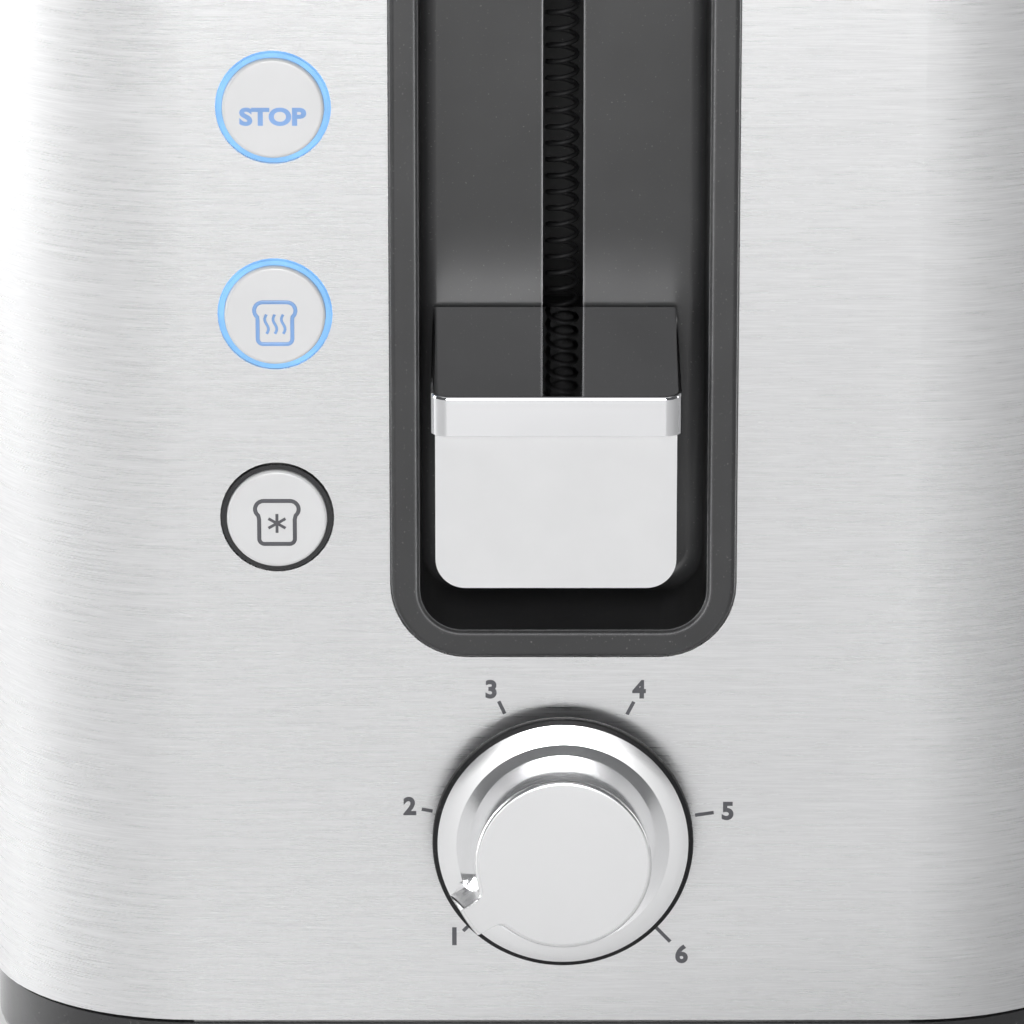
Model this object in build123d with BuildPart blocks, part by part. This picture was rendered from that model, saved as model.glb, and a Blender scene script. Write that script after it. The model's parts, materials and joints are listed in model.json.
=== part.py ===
from build123d import *
import math
import os

os.makedirs("parts", exist_ok=True)

# Millimetres. +Z is up, the control end faces -Y, the origin is under the middle of the toaster.

# ---- overall sizes ---------------------------------------------------------
body_width = 178.0
body_length = 290.0
body_height = 210.0
corner_radius = 33.5
sheet = 0.8                 # steel shell
front_reach = 14.0          # dial cap in front of the front face
rear_reach = 8.0            # tray grip behind the rear face
foot_height = 3.0
shell_bottom = 14.0
cover_height = 12.0
run = 0.05                  # radial clearance of a running fit
loose = 0.3                 # gap round parts that must not touch

y_front = front_reach - (body_length + front_reach + rear_reach) / 2
y_rear = y_front + body_length
y_mid = (y_front + y_rear) / 2
shell_top = body_height - cover_height

# ---- controls --------------------------------------------------------------
control_x = 1.6
bay_outer_w = 52.0
bay_inner_w = 43.6
bay_bottom = 73.5
bay_top = shell_top - 4.0
bay_outer_r = 11.4
bay_inner_r = 6.5
bay_depth = 22.0
bay_wall = 1.8
bezel_proud = 1.0
slot_width = 6.2
rim = (bay_outer_w - bay_inner_w) / 2
bay_back = y_front + bay_depth

button_x = control_x - 43.4
button_zs = {"defrost": 95.5, "reheat": 127.4, "stop": 159.3}
button_radius = 7.6
button_proud = 1.0
button_travel = 0.9
ring_radius = button_radius + 0.75

knob_z = 44.5
flange_radius = 20.0
hub_radius = 14.0
cap_radius = 13.4
shaft_radius = 3.0
pointer_reach = 17.4        # tip of the pointer, from the dial's axis
pointer_turn = -123.5       # degrees from upright, a little past the lowest mark

# ---- lever -----------------------------------------------------------------
lever_x = control_x - 1.2
lever_width = 37.5
lever_reach = 12.0          # lip in front of the face
lip_top = 117.8
lip_height = 6.0
lever_rise = 5.0            # slope of the top plate, front to back
y_lip = y_front - lever_reach
y_lever = bay_back - 1.2
lever_travel = bay_top - rim - (lip_top + lever_rise) - 3.2

# ---- oven ------------------------------------------------------------------
plate = 1.0
lift_space = 40.0                   # room behind the bay for the carriage and its rod
oven_front = bay_back + lift_space  # front face of the front chassis plate
oven_rear = y_rear - 57.0           # inner face of the rear chassis plate
oven_y0 = oven_front + plate
oven_top = shell_top - 11.0
oven_half = 70.0
plate_foot = 15.0
slot_x = 31.0
slot_w = 32.0
slot_y0 = oven_front + 6.0
slot_y1 = oven_rear - 5.0
guard_off = 17.0
card_x = 57.0
card_t = 0.6
reflector_x = 62.0

# ---- carriage and lift -----------------------------------------------------
rod_radius = 3.0
rod_x = control_x + 14.0
rod_y = oven_front - 27.0
spring_y = rod_y + 2.5
spring_radius = 2.3
wire_radius = 0.4
coils = 46
carriage_y = oven_front - 15.0      # rear face of the carriage plate
gauge = 1.5
rack_z = 38.0
rack_height = 8.0
upper_z = 116.0
lower_z = 72.0
bar_top = 56.0


def face_plane(y):
    """Upright plane at depth y: local x is +X, local y is +Z, extrusion is towards the front."""
    return Plane.XZ.offset(-y)


def side_plane(x):
    """Upright plane at width x: local x is +Y, local y is +Z."""
    return Plane.YZ.offset(x)


def block(x0, x1, y0, y1, z0, z1, mode=Mode.ADD):
    """Block given by its limits, put into the part being built."""
    with Locations(((x0 + x1) / 2, (y0 + y1) / 2, (z0 + z1) / 2)):
        Box(x1 - x0, y1 - y0, z1 - z0, mode=mode)


def bar_z(x, y, z0, z1, radius, mode=Mode.ADD):
    """Upright round bar."""
    with Locations((x, y, (z0 + z1) / 2)):
        Cylinder(radius, z1 - z0, mode=mode)


def bar_y(x, z, y0, y1, radius, mode=Mode.ADD):
    """Round bar lying front to back."""
    with Locations((x, (y0 + y1) / 2, z)):
        Cylinder(radius, y1 - y0, rotation=(90, 0, 0), mode=mode)


def bar_x(y, z, x0, x1, radius, mode=Mode.ADD):
    """Round bar lying side to side."""
    with Locations(((x0 + x1) / 2, y, z)):
        Cylinder(radius, x1 - x0, rotation=(0, 90, 0), mode=mode)


def footprint(inset):
    """Rounded outline of the body, moved in by the given amount."""
    RectangleRounded(body_width - 2 * inset, body_length - 2 * inset, corner_radius - inset)


# ======================= steel shell =======================================
tray_notch_half = 55.0
tray_notch_top = 31.0
gland_x = 44.0
gland_z = 44.0
gland_radius = 6.3
lip_in = 6.8                # inward flanges at the top and bottom of the shell

with BuildPart() as steel_shell:
    with BuildSketch(Plane.XY.offset(shell_bottom)):
        with Locations((0, y_mid)):
            footprint(0)
    extrude(amount=shell_top - shell_bottom)
    with BuildSketch(Plane.XY.offset(shell_bottom)):
        with Locations((0, y_mid)):
            footprint(lip_in)
    extrude(amount=shell_top - shell_bottom, mode=Mode.SUBTRACT)
    with BuildSketch(Plane.XY.offset(shell_bottom + sheet)):
        with Locations((0, y_mid)):
            footprint(sheet)
    extrude(amount=shell_top - shell_bottom - 2 * sheet, mode=Mode.SUBTRACT)
    # window for the lever bay
    with BuildSketch(face_plane(y_front - 1)):
        with Locations((control_x, (bay_bottom + bay_top) / 2)):
            RectangleRounded(bay_outer_w + 0.7, bay_top - bay_bottom + 0.7, bay_outer_r + 0.35)
    extrude(amount=-(2 + sheet), mode=Mode.SUBTRACT)
    for z in button_zs.values():
        bar_y(button_x, z, y_front - 1, y_front + sheet + 1, ring_radius + loose, Mode.SUBTRACT)
    bar_y(control_x, knob_z, y_front - 1, y_front + sheet + 1, shaft_radius + 2, Mode.SUBTRACT)
    # rear: tray notch and mains lead bushing
    block(-tray_notch_half, tray_notch_half, y_rear - lip_in - 1, y_rear + 1,
          shell_bottom - 1, tray_notch_top, Mode.SUBTRACT)
    bar_y(gland_x, gland_z, y_rear - 2, y_rear + 1, gland_radius + loose, Mode.SUBTRACT)

steel_shell.part.label = "steel_shell"
export_step(steel_shell.part, "parts/steel_shell.step")

# ======================= top cover =========================================
cover_wall = 1.5
cover_round = 9.0
chute = 1.2

with BuildPart() as top_cover:
    with BuildSketch(Plane.XY.offset(shell_top)):
        with Locations((0, y_mid)):
            footprint(0)
    extrude(amount=cover_height)
    fillet(top_cover.edges().group_by(Axis.Z)[-1], radius=cover_round)
    # hollow underneath, following the shoulder with a stepped inside
    steps = ((cover_wall, 3.0), (cover_wall + 2.2, 7.0), (cover_wall + 7.0, cover_height - cover_wall))
    for inset, top in steps:
        with BuildSketch(Plane.XY.offset(shell_top)):
            with Locations((0, y_mid)):
                footprint(inset)
        extrude(amount=top, mode=Mode.SUBTRACT)
    # a chute round each bread slot comes down to the oven
    for side in (-1, 1):
        block(side * slot_x - slot_w / 2 - chute, side * slot_x + slot_w / 2 + chute,
              slot_y0 - chute, slot_y1 + chute, oven_top + plate, body_height - 0.5)
    for side in (-1, 1):
        with BuildSketch(Plane.XY.offset(oven_top)):
            with Locations((side * slot_x, (slot_y0 + slot_y1) / 2)):
                RectangleRounded(slot_w, slot_y1 - slot_y0, 5)
        extrude(amount=body_height - oven_top + 1, mode=Mode.SUBTRACT)
    slot_rims = top_cover.edges().filter_by(lambda e: abs(e.center().Z - body_height) < 0.01
                                            and abs(e.center().Y - y_mid) < body_length / 2 - 20
                                            and abs(e.center().X) < slot_x + slot_w / 2 + 1)
    fillet(slot_rims, radius=0.8)

top_cover.part.label = "top_cover"
export_step(top_cover.part, "parts/top_cover.step")

# ======================= base ==============================================
skirt_inset = 1.0
skirt_top = shell_bottom - 0.9
ledge_inset = 2.0
base_wall = 3.5
floor_top = foot_height + 2.5
foot_x = body_width / 2 - 27
foot_ys = (y_front + 28, y_rear - 28)
stud_radius = 3.0
post_x = 62.0
post_ys = (oven_front - 6.0, oven_rear + plate + 6.0)
screw_radius = 1.5
runner_x = 49.0
tray_z = 17.0

with BuildPart() as base_moulding:
    with BuildSketch(Plane.XY.offset(foot_height)):
        with Locations((0, y_mid)):
            footprint(skirt_inset)
    extrude(amount=skirt_top - foot_height)
    fillet(base_moulding.edges().group_by(Axis.Z)[0], radius=2.0)
    with BuildSketch(Plane.XY.offset(skirt_top)):
        with Locations((0, y_mid)):
            footprint(ledge_inset)
    extrude(amount=shell_bottom - skirt_top)
    with BuildSketch(Plane.XY.offset(floor_top)):
        with Locations((0, y_mid)):
            footprint(ledge_inset + base_wall)
    extrude(amount=shell_bottom - floor_top + 1, mode=Mode.SUBTRACT)
    # ribs that carry the chassis plates, and runners for the crumb tray
    block(-oven_half, oven_half, oven_front - 1, oven_front + 2, foot_height + 1, plate_foot)
    block(-oven_half, oven_half, oven_rear - 1, oven_rear + 2, foot_height + 1, plate_foot)
    for side in (-1, 1):
        block(side * runner_x - 1, side * runner_x + 1, oven_y0 + 3, y_rear - 8, foot_height + 1, tray_z)
    for x in (-post_x, post_x):
        for y in post_ys:
            bar_z(x, y, foot_height + 1, plate_foot, 4.5)
    bar_z(rod_x, rod_y, foot_height + 1, 22, 6)
    for x in (-post_x, post_x):
        for y in post_ys:
            bar_z(x, y, foot_height - 1, foot_height + 4, 3.4, Mode.SUBTRACT)
            bar_z(x, y, foot_height, plate_foot + 1, screw_radius + loose, Mode.SUBTRACT)
    bar_z(rod_x, rod_y, shell_bottom, 23, rod_radius + run, Mode.SUBTRACT)
    for x in (-foot_x, foot_x):
        for y in foot_ys:
            bar_z(x, y, foot_height - 1, floor_top + 1, stud_radius + loose, Mode.SUBTRACT)
    # air slots in the floor, front and rear
    for y in (y_front + 18, y_front + 26, y_rear - 18, y_rear - 26):
        for x in (-30, 0, 30):
            if abs(x - rod_x) > 24 or y > 0 or y < rod_y - 14:
                block(x - 11, x + 11, y - 1.5, y + 1.5, foot_height - 1, floor_top + 1, Mode.SUBTRACT)

base_moulding.part.label = "base_moulding"
export_step(base_moulding.part, "parts/base_moulding.step")

foot_places = {"foot_front_left": (-foot_x, foot_ys[0]), "foot_front_right": (foot_x, foot_ys[0]),
               "foot_rear_left": (-foot_x, foot_ys[1]), "foot_rear_right": (foot_x, foot_ys[1])}
for label, (x, y) in foot_places.items():
    with BuildPart() as foot:
        bar_z(x, y, 0, foot_height, 9)
        fillet(foot.edges().group_by(Axis.Z)[0], radius=1.0)
        bar_z(x, y, foot_height, floor_top, stud_radius)
        bar_z(x, y, floor_top, floor_top + 1.5, stud_radius + 1.2)
    foot.part.label = label
    export_step(foot.part, f"parts/{label}.step")

with BuildPart() as base_screws:
    for x in (-post_x, post_x):
        for y in post_ys:
            bar_z(x, y, foot_height + 2, foot_height + 4, 3.0)
            bar_z(x, y, foot_height + 4, plate_foot + 4, screw_radius)

base_screws.part.label = "base_screws"
export_step(base_screws.part, "parts/base_screws.step")

# ======================= chassis plates ====================================
arm_gap = 3.2               # width of the slots the racks slide in
arm_slot_top = rack_z + rack_height + lever_travel + 4
tab_z = oven_top
tab_y = rod_y - 7.5

with BuildPart() as front_chassis:
    block(-oven_half, oven_half, oven_front, oven_y0, plate_foot, oven_top + plate)
    block(-6, rod_x + 8, tab_y, oven_front, tab_z, tab_z + plate)
    for side in (-1, 1):
        block(side * post_x - 6, side * post_x + 6, oven_front - 12, oven_front,
              plate_foot, plate_foot + plate)
    for side in (-1, 1):
        block(side * slot_x - arm_gap / 2, side * slot_x + arm_gap / 2, oven_front - 1, oven_y0 + 1,
              rack_z - 3, arm_slot_top, Mode.SUBTRACT)
        bar_z(side * post_x, post_ys[0], plate_foot - 1, plate_foot + 2, screw_radius + loose, Mode.SUBTRACT)
        bar_y(side * 67, oven_top - 6, oven_front - 1, oven_y0 + 1, screw_radius + loose, Mode.SUBTRACT)
    bar_z(rod_x, rod_y, tab_z - 1, tab_z + 2, rod_radius + run, Mode.SUBTRACT)

front_chassis.part.label = "front_chassis"
export_step(front_chassis.part, "parts/front_chassis.step")

with BuildPart() as rear_chassis:
    block(-oven_half, oven_half, oven_rear, oven_rear + plate, plate_foot, oven_top + plate)
    for side in (-1, 1):
        block(side * post_x - 6, side * post_x + 6, oven_rear + plate, oven_rear + plate + 12,
              plate_foot, plate_foot + plate)
    block(-54, 54, oven_rear - 1, oven_rear + 2, plate_foot - 1, tray_notch_top, Mode.SUBTRACT)
    for side in (-1, 1):
        block(side * slot_x - arm_gap / 2, side * slot_x + arm_gap / 2, oven_rear - 1, oven_rear + 2,
              rack_z - 3, arm_slot_top, Mode.SUBTRACT)
        bar_z(side * post_x, post_ys[1], plate_foot - 1, plate_foot + 2, screw_radius + loose, Mode.SUBTRACT)
        bar_y(side * 67, oven_top - 6, oven_rear - 1, oven_rear + 2, screw_radius + loose, Mode.SUBTRACT)

rear_chassis.part.label = "rear_chassis"
export_step(rear_chassis.part, "parts/rear_chassis.step")

with BuildPart() as oven_top_frame:
    block(-oven_half, oven_half, oven_y0, oven_rear, oven_top, oven_top + plate)
    for side in (-1, 1):
        for y in (oven_y0, oven_rear - 1):
            block(side * 67 - 3, side * 67 + 3, y, y + 1, oven_top - 11, oven_top)
    for side in (-1, 1):
        block(side * slot_x - slot_w / 2, side * slot_x + slot_w / 2, slot_y0, slot_y1,
              oven_top - 1, oven_top + 2, Mode.SUBTRACT)
        for y in (oven_y0, oven_rear - 1):
            bar_y(side * 67, oven_top - 6, y - 1, y + 2, screw_radius + loose, Mode.SUBTRACT)

oven_top_frame.part.label = "oven_top_frame"
export_step(oven_top_frame.part, "parts/oven_top_frame.step")

with BuildPart() as chassis_screws:
    for side in (-1, 1):
        bar_y(side * 67, oven_top - 6, oven_front - 2, oven_front, 2.8)
        bar_y(side * 67, oven_top - 6, oven_front, oven_front + 5, screw_radius)
        bar_y(side * 67, oven_top - 6, oven_rear + plate, oven_rear + plate + 2, 2.8)
        bar_y(side * 67, oven_top - 6, oven_rear - 4, oven_rear + plate, screw_radius)

chassis_screws.part.label = "chassis_screws"
export_step(chassis_screws.part, "parts/chassis_screws.step")

for label, side in (("reflector_left", -1), ("reflector_right", 1)):
    with BuildPart() as reflector:
        block(side * reflector_x - 0.3, side * reflector_x + 0.3, oven_y0, oven_rear, 30, oven_top)
        block(min(side * reflector_x, side * 64), max(side * reflector_x, side * 64),
              oven_y0, oven_rear, oven_top - 0.6, oven_top)
        block(min(side * reflector_x, side * 69), max(side * reflector_x, side * 69),
              oven_y0, oven_rear, 30, 30.6)
    reflector.part.label = label
    export_step(reflector.part, f"parts/{label}.step")

# ======================= heaters and guards ================================
card_z0 = 34.0
card_z1 = oven_top - 6
ribbon_w = 1.4
ribbon_t = 0.2
rows = 11
row_y0 = slot_y0 + 3
row_y1 = slot_y1 - 3
row_z0 = card_z0 + 10
row_step = (card_z1 - card_z0 - 20) / (rows - 1)


def wind(x0, x1):
    """Flat ribbon laid to and fro over one face of a card, between two x limits."""
    for i in range(rows):
        z = row_z0 + i * row_step
        block(x0, x1, row_y0, row_y1, z, z + ribbon_w)
        if i < rows - 1:
            y = row_y0 if i % 2 else row_y1 - ribbon_w
            block(x0, x1, y, y + ribbon_w, z, z + row_step)


for label, x in (("mica_card_left", -card_x), ("mica_card_centre", 0.0), ("mica_card_right", card_x)):
    with BuildPart() as card:
        block(x - card_t / 2, x + card_t / 2, oven_y0, oven_rear, card_z0, card_z1)
        if x == 0.0:
            block(-1, 1, row_y0 - 1, row_y0 + 3, row_z0 - 1, row_z0 + 3, Mode.SUBTRACT)
    card.part.label = label
    export_step(card.part, f"parts/{label}.step")

for label, x in (("heater_ribbon_left", -card_x), ("heater_ribbon_right", card_x)):
    face = x - math.copysign(card_t / 2, x)
    back = face - math.copysign(ribbon_t, x)
    with BuildPart() as ribbon:
        wind(min(face, back), max(face, back))
    ribbon.part.label = label
    export_step(ribbon.part, f"parts/{label}.step")

with BuildPart() as heater_ribbon_centre:
    wind(card_t / 2, card_t / 2 + ribbon_t)
    wind(-card_t / 2 - ribbon_t, -card_t / 2)
    # the ribbon passes through a hole in the card
    block(-card_t / 2, card_t / 2, row_y0, row_y0 + ribbon_w, row_z0, row_z0 + ribbon_w)

heater_ribbon_centre.part.label = "heater_ribbon_centre"
export_step(heater_ribbon_centre.part, "parts/heater_ribbon_centre.step")

guard_xs = {"guard_left_outer": -slot_x - guard_off, "guard_left_inner": -slot_x + guard_off,
            "guard_right_inner": slot_x - guard_off, "guard_right_outer": slot_x + guard_off}
for label, x in guard_xs.items():
    with BuildPart() as guard:
        for z in (36.0, (36.0 + oven_top - 7) / 2, oven_top - 7):
            bar_y(x, z, oven_y0, oven_rear, 1.1)
        for i in range(9):
            y = slot_y0 + 4 + i * (slot_y1 - slot_y0 - 8) / 8
            bar_z(x, y, 34.0, oven_top - 5, 0.8)
    guard.part.label = label
    export_step(guard.part, f"parts/{label}.step")

# ======================= lever bay =========================================
bay_mid_z = (bay_bottom + bay_top) / 2
bay_h = bay_top - bay_bottom
flange_out = 3.5
neck_z0 = 101.0
neck_z1 = 112.0

with BuildPart() as lever_bay:
    with BuildSketch(face_plane(y_front - bezel_proud)):
        with Locations((control_x, bay_mid_z)):
            RectangleRounded(bay_outer_w, bay_h, bay_outer_r)
    extrude(amount=-(bezel_proud + sheet + 1))
    fillet(lever_bay.edges().group_by(Axis.Y)[0], radius=0.7)
    with BuildSketch(face_plane(y_front + sheet)):
        with Locations((control_x, bay_mid_z)):
            RectangleRounded(bay_outer_w + 2 * flange_out, bay_h + 5, bay_outer_r + 2)
    extrude(amount=-2)
    with BuildSketch(face_plane(y_front + sheet)):
        with Locations((control_x, bay_mid_z)):
            RectangleRounded(bay_inner_w + 2 * bay_wall, bay_h - 2 * rim + 2 * bay_wall,
                             bay_inner_r + bay_wall)
    extrude(amount=-(bay_depth + bay_wall - sheet))
    with BuildSketch(face_plane(y_front - bezel_proud)):
        with Locations((control_x, bay_mid_z)):
            RectangleRounded(bay_inner_w, bay_h - 2 * rim, bay_inner_r)
    extrude(amount=-(bezel_proud + bay_depth), mode=Mode.SUBTRACT)
    inner_back = lever_bay.edges().filter_by(
        lambda e: abs(e.center().Y - bay_back) < 0.01 and abs(e.bounding_box().size.Y) < 0.01)
    fillet(inner_back, radius=2.5)
    mouth = lever_bay.edges().filter_by(
        lambda e: abs(e.center().Y - (y_front - bezel_proud)) < 0.01
        and e.bounding_box().size.Y < 0.01
        and abs(e.center().X - control_x) < bay_inner_w / 2 + 0.2
        and bay_bottom + rim - 0.2 < e.center().Z < bay_top - rim + 0.2)
    chamfer(mouth, length=0.5)
    with BuildSketch(face_plane(bay_back - 3)):
        with Locations((control_x, (neck_z0 - 5 + bay_top - 10) / 2)):
            RectangleRounded(slot_width, bay_top - 10 - neck_z0 + 5, 2)
    extrude(amount=-8, mode=Mode.SUBTRACT)

lever_bay.part.label = "lever_bay"
export_step(lever_bay.part, "parts/lever_bay.step")

# ======================= lever =============================================
half = lever_width / 2
skin = 1.2

with BuildPart() as lever_cover:
    with BuildSketch(side_plane(lever_x - half)):
        with BuildLine():
            Polyline((y_lever, lip_top + lever_rise), (y_lip, lip_top), (y_lip, lip_top - lip_height),
                     (y_lip + 3, lip_top - lip_height), (y_lever, lip_top + lever_rise - lip_height),
                     close=True)
        make_face()
    extrude(amount=lever_width)
    # hollow under the plate, for the head of the lever body
    with BuildSketch(side_plane(lever_x - half + skin)):
        with BuildLine():
            Polyline((y_lever + 1, lip_top + lever_rise - skin), (y_lip + skin + 0.3, lip_top - skin),
                     (y_lip + skin + 0.3, lip_top - lip_height - 1),
                     (y_lever + 1, lip_top - lip_height - 1), close=True)
        make_face()
    extrude(amount=lever_width - 2 * skin, mode=Mode.SUBTRACT)
    corners = lever_cover.edges().filter_by(Axis.Z).sort_by(Axis.Y)[0:2]
    fillet(corners, radius=2.4)
    fillet(lever_cover.edges().filter_by(
        lambda e: e.center().Z > lip_top - 0.3
        and e.center().Y < y_lip + 3.5 and e.bounding_box().size.Z < 0.6), radius=0.5)

lever_cover.part.label = "lever_cover"
export_step(lever_cover.part, "parts/lever_cover.step")

apron_width = 36.2
apron_bottom = 87.5

with BuildPart() as lever_body:
    # head inside the chrome cover
    with BuildSketch(side_plane(lever_x - half + skin + 0.1)):
        with BuildLine():
            Polyline((y_lever, lip_top + lever_rise - skin - 0.155),
                     (y_lip + skin + 0.5, lip_top - skin),
                     (y_lip + skin + 0.5, lip_top - lip_height - 0.3),
                     (y_lever, lip_top - lip_height - 0.3), close=True)
        make_face()
    extrude(amount=lever_width - 2 * skin - 0.2)
    # apron below the lip
    with BuildSketch(face_plane(y_lip + 1.7)):
        with Locations((lever_x, (apron_bottom + lip_top - lip_height - 0.3) / 2)):
            Rectangle(apron_width, lip_top - lip_height - 0.3 - apron_bottom)
    extrude(amount=-3)
    fillet(lever_body.edges().filter_by(Axis.Y).sort_by(Axis.Z)[0:2], radius=4.5)
    # web and neck
    block(lever_x - 4, lever_x + 4, y_lip + 4, y_lever, neck_z0 - 4, lip_top - lip_height)
    block(control_x - 2.3, control_x + 2.3, y_lever - 2, bay_back + 5.5, neck_z0, neck_z1)
    bar_y(control_x, (neck_z0 + neck_z1) / 2, bay_back - 1, bay_back + 6, 1.45, Mode.SUBTRACT)

lever_body.part.label = "lever_body"
export_step(lever_body.part, "parts/lever_body.step")

# ======================= carriage ==========================================
tab_front = bay_back + 5.5          # front face of the tab the neck is screwed to
riser_x0 = control_x - 8.0
riser_x1 = control_x + 22.0
bush_radius = 4.9

with BuildPart() as carriage:
    block(-38, 66, carriage_y - gauge, carriage_y, rack_z, bar_top)
    block(-62, -38, carriage_y - gauge, carriage_y, rack_z, rack_z + 9)
    # foot that presses the contact leaves
    block(-62, -46, oven_front - 29, carriage_y, rack_z, rack_z + gauge)
    block(riser_x0, riser_x1, carriage_y - gauge, carriage_y, bar_top, upper_z + gauge)
    block(riser_x0, riser_x1, tab_front, carriage_y, upper_z, upper_z + gauge)
    block(riser_x0, riser_x1, rod_y - 7, carriage_y, lower_z, lower_z + gauge)
    block(riser_x0, riser_x1, tab_front, tab_front + gauge, neck_z0 - 2, upper_z + gauge)
    # shelf for the armature
    block(42, 66, rod_y - 7, carriage_y, bar_top - gauge, bar_top)
    for z in (lower_z, upper_z):
        bar_z(rod_x, rod_y, z - 1, z + gauge + 1, bush_radius + run, Mode.SUBTRACT)
    bar_z(control_x, spring_y, upper_z - 1, upper_z + gauge + 1, spring_radius + 1.5, Mode.SUBTRACT)
    bar_y(control_x, (neck_z0 + neck_z1) / 2, tab_front - 1, tab_front + gauge + 1, 1.7, Mode.SUBTRACT)

carriage.part.label = "carriage"
export_step(carriage.part, "parts/carriage.step")

with BuildPart() as lever_screw:
    bar_y(control_x, (neck_z0 + neck_z1) / 2, tab_front + gauge, tab_front + gauge + 1.6, 2.6)
    bar_y(control_x, (neck_z0 + neck_z1) / 2, bay_back + 0.5, tab_front + gauge, 1.4)

lever_screw.part.label = "lever_screw"
export_step(lever_screw.part, "parts/lever_screw.step")

for label, z in (("slide_bush_lower", lower_z), ("slide_bush_upper", upper_z)):
    with BuildPart() as bush:
        bar_z(rod_x, rod_y, z - 2.5, z, bush_radius + 0.9)
        bar_z(rod_x, rod_y, z, z + gauge + 1.5, bush_radius)
        bar_z(rod_x, rod_y, z - 4, z + gauge + 2, rod_radius + run, Mode.SUBTRACT)
    bush.part.label = label
    export_step(bush.part, f"parts/{label}.step")

with BuildPart() as guide_rod:
    bar_z(rod_x, rod_y, shell_bottom, oven_top + plate + 2, rod_radius)
    chamfer(guide_rod.edges().group_by(Axis.Z)[-1], length=0.5)

guide_rod.part.label = "guide_rod"
export_step(guide_rod.part, "parts/guide_rod.step")

spring_z0 = lower_z + gauge
spring_z1 = tab_z
coil_height = spring_z1 - spring_z0 - 1.4
with BuildPart() as lift_spring:
    with BuildLine() as coil:
        Helix(coil_height / coils, coil_height, spring_radius,
              center=(control_x, spring_y, spring_z0 + 0.7))
    with BuildSketch(Plane(origin=coil.line @ 0, z_dir=coil.line % 0)):
        Circle(wire_radius)
    sweep(is_frenet=True)
    # closed end turns rest on the carriage and under the tab
    for z in (spring_z0, spring_z1 - 1.4):
        with BuildSketch(Plane.XY.offset(z)):
            with Locations((control_x, spring_y)):
                Circle(spring_radius + 0.5)
                Circle(spring_radius - 0.5, mode=Mode.SUBTRACT)
        extrude(amount=1.4)

lift_spring.part.label = "lift_spring"
export_step(lift_spring.part, "parts/lift_spring.step")

for label, side in (("rack_left", -1), ("rack_right", 1)):
    x = side * slot_x
    with BuildPart() as rack:
        block(x - 0.6, x + 0.6, carriage_y, oven_rear + 7, rack_z, rack_z + rack_height)
        block(x - 6.5, x + 6.5, carriage_y, carriage_y + 1.2, rack_z, rack_z + rack_height + 4)
        for i in range(7):
            y = slot_y0 + 8 + i * (slot_y1 - slot_y0 - 16) / 6
            bar_x(y, rack_z + rack_height - 1.2, x - 9, x + 9, 1.2)
    rack.part.label = label
    export_step(rack.part, f"parts/{label}.step")

# ======================= magnet latch ======================================
magnet_x = 54.0
magnet_floor = 22.0
magnet_y0 = rod_y - 4.0
magnet_y1 = rod_y + 5.0
pole_top = bar_top - gauge - 2.5 - loose

with BuildPart() as armature:
    block(magnet_x - 12, magnet_x + 12, rod_y - 6, rod_y + 7, pole_top + loose, bar_top - gauge)
    fillet(armature.edges().filter_by(Axis.Z), radius=1.5)

armature.part.label = "armature"
export_step(armature.part, "parts/armature.step")

with BuildPart() as magnet_bracket:
    block(magnet_x - 17, magnet_x + 17, magnet_y0 - 3, oven_front, magnet_floor, magnet_floor + gauge)
    block(magnet_x - 17, magnet_x + 17, oven_front - gauge, oven_front, magnet_floor + gauge, 34)

magnet_bracket.part.label = "magnet_bracket"
export_step(magnet_bracket.part, "parts/magnet_bracket.step")

core_z = magnet_floor + gauge
with BuildPart() as magnet_core:
    block(magnet_x - 15, magnet_x + 15, magnet_y0, magnet_y1, core_z, core_z + 5)
    for x0, x1 in ((-15, -11), (-4, 4), (11, 15)):
        block(magnet_x + x0, magnet_x + x1, magnet_y0, magnet_y1, core_z + 5, pole_top)

magnet_core.part.label = "magnet_core"
export_step(magnet_core.part, "parts/magnet_core.step")

with BuildPart() as magnet_coil:
    block(magnet_x - 10, magnet_x + 10, magnet_y0 - 3.5, magnet_y1 + 3.5, core_z + 5, pole_top - 2)
    fillet(magnet_coil.edges().filter_by(Axis.Z), radius=2.0)
    block(magnet_x - 4.1, magnet_x + 4.1, magnet_y0 - 0.1, magnet_y1 + 0.1,
          core_z + 4, pole_top, Mode.SUBTRACT)

magnet_coil.part.label = "magnet_coil"
export_step(magnet_coil.part, "parts/magnet_coil.step")

with BuildPart() as contact_block:
    block(-66, -44, oven_front - 14, oven_front, magnet_floor, rack_z - 0.5)
    for x in (-62, -52):
        # two leaf springs; the carriage holds each pair closed when it is down
        block(x, x + 4, oven_front - 30, oven_front - 13, rack_z - 1.2, rack_z - 0.8)
        block(x, x + 4, oven_front - 30, oven_front - 13, rack_z - 5.0, rack_z - 4.6)
        bar_z(x + 2, oven_front - 27, rack_z - 4.6, rack_z - 1.5, 1.5)

contact_block.part.label = "contact_block"
export_step(contact_block.part, "parts/contact_block.step")

# ======================= dial ==============================================
knob_gap = 2.3
bore_depth = 9.0
knob_origin = (control_x, y_front, knob_z)
pointer_angle = math.radians(pointer_turn)
pointer_dir = (math.sin(pointer_angle), 0, math.cos(pointer_angle))

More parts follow.
